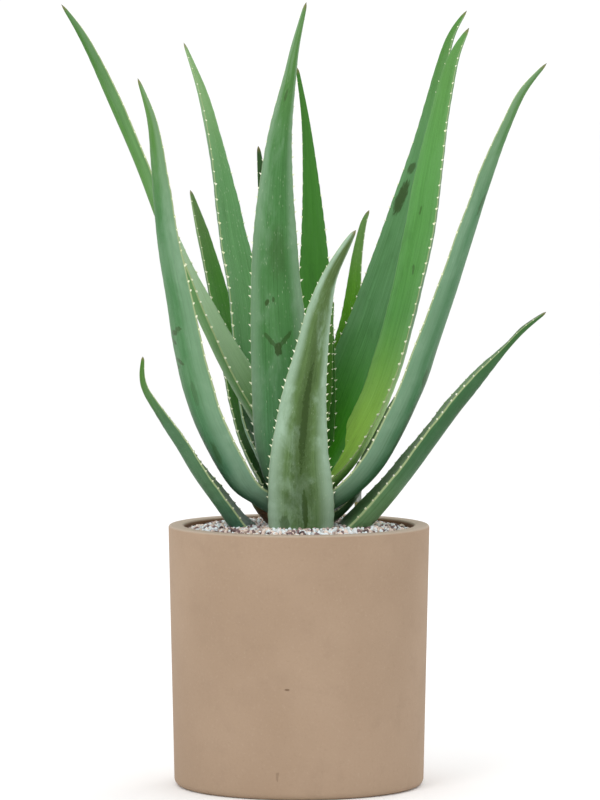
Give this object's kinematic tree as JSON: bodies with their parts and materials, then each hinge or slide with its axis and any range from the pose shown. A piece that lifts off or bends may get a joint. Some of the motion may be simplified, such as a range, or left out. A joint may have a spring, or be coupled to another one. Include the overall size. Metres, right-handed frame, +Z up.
{
  "type": "potted aloe plant",
  "caption": "Aloe with long upright toothed leaves growing from a short stem in a round clay-coloured pot dressed with small gravel.",
  "frame": {"origin": "centre of the pot's underside", "axes": "+Z up out of the pot, -Y towards the front leaf, +X towards the low right leaf"},
  "size_m": [0.4605, 0.2714, 0.7482],
  "materials": {
    "pot": "matt stoneware, warm clay colour",
    "soil": "loose dark potting mix",
    "gravel": "angular stones, pale, cream and dark",
    "stem": "dry brown fibre",
    "leaf": "waxy green skin with a pale bloom",
    "label": "thin translucent strip, left plain"
  },
  "bodies": {
    "root": {"pot": "pot", "soil": "soil", "gravel": "gravel", "stem": "stem", "label": "label", "leaf_back_right_small": "leaf", "leaf_back_centre": "leaf", "leaf_left_tall": "leaf", "leaf_centre_tall": "leaf", "leaf_right_back_tall": "leaf", "leaf_back_left_tall": "leaf", "leaf_right_tall": "leaf", "leaf_right_broad": "leaf", "leaf_back_left_low": "leaf", "leaf_back_right_low": "leaf", "leaf_left_broad": "leaf", "leaf_back_slim": "leaf", "leaf_right_hidden": "leaf", "leaf_front": "leaf", "leaf_right_low": "leaf", "leaf_left_low": "leaf", "leaf_left_stub": "leaf"}
  },
  "joints": []
}
